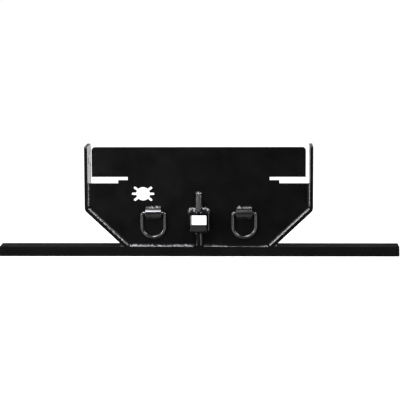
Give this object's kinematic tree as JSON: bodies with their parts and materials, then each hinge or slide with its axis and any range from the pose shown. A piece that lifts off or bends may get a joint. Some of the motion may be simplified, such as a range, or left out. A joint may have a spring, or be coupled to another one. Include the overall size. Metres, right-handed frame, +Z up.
{
  "type": "truck hitch plate",
  "caption": "Black steel hitch plate for a truck frame, with bent side plates, full-width bottom channel, square receiver tube and swinging chain rings.",
  "frame": {"origin": "under the middle of the part's box, on the surface it stands on", "axes": "+X across the truck, to the right seen from the trailer; +Y towards the truck; +Z up"},
  "size_m": [1.584, 0.2364, 0.435],
  "materials": {
    "plate_coat": "satin black powder coat on flat plate",
    "channel_coat": "satin black powder coat on rolled channel",
    "tube_coat": "satin black powder coat on square tube",
    "weld_coat": "glossy black powder coat over rippled weld",
    "ring_coat": "glossy black coat on a forged ring"
  },
  "bodies": {
    "hitch_plate": {"bottom_channel": "channel_coat", "left_channel_weld": "weld_coat", "left_clip_weld_bottom": "weld_coat", "left_clip_weld_top": "weld_coat", "left_lower_rib_weld": "weld_coat", "left_overhang_weld": "weld_coat", "left_rear_channel_weld": "weld_coat", "left_ring_clip": "ring_coat", "left_side_plate": "plate_coat", "left_side_weld_lower": "weld_coat", "left_side_weld_upper": "weld_coat", "left_tube_weld": "weld_coat", "left_upper_rib_weld": "weld_coat", "lower_rib": "plate_coat", "main_plate": "plate_coat", "rear_tube_weld": "weld_coat", "receiver_tube": "tube_coat", "right_channel_weld": "weld_coat", "right_clip_weld_bottom": "weld_coat", "right_clip_weld_top": "weld_coat", "right_lower_rib_weld": "weld_coat", "right_overhang_weld": "weld_coat", "right_rear_channel_weld": "weld_coat", "right_ring_clip": "ring_coat", "right_side_plate": "plate_coat", "right_side_weld_lower": "weld_coat", "right_side_weld_upper": "weld_coat", "right_tube_weld": "weld_coat", "right_upper_rib_weld": "weld_coat", "upper_rib": "plate_coat", "upper_rib_cap_weld": "weld_coat"},
    "left_ring": {"left_d_ring": "ring_coat"},
    "right_ring": {"right_d_ring": "ring_coat"}
  },
  "joints": [
    {"name": "left_ring_swing", "type": "hinge", "parent": "hitch_plate", "child": "left_ring", "pos_m": [-0.1795, -0.05122, 0.1727], "axis": [-1, 0, 0], "range_deg": [0, 180]},
    {"name": "right_ring_swing", "type": "hinge", "parent": "hitch_plate", "child": "right_ring", "pos_m": [0.1795, -0.05122, 0.1727], "axis": [-1, 0, 0], "range_deg": [0, 180]}
  ]
}
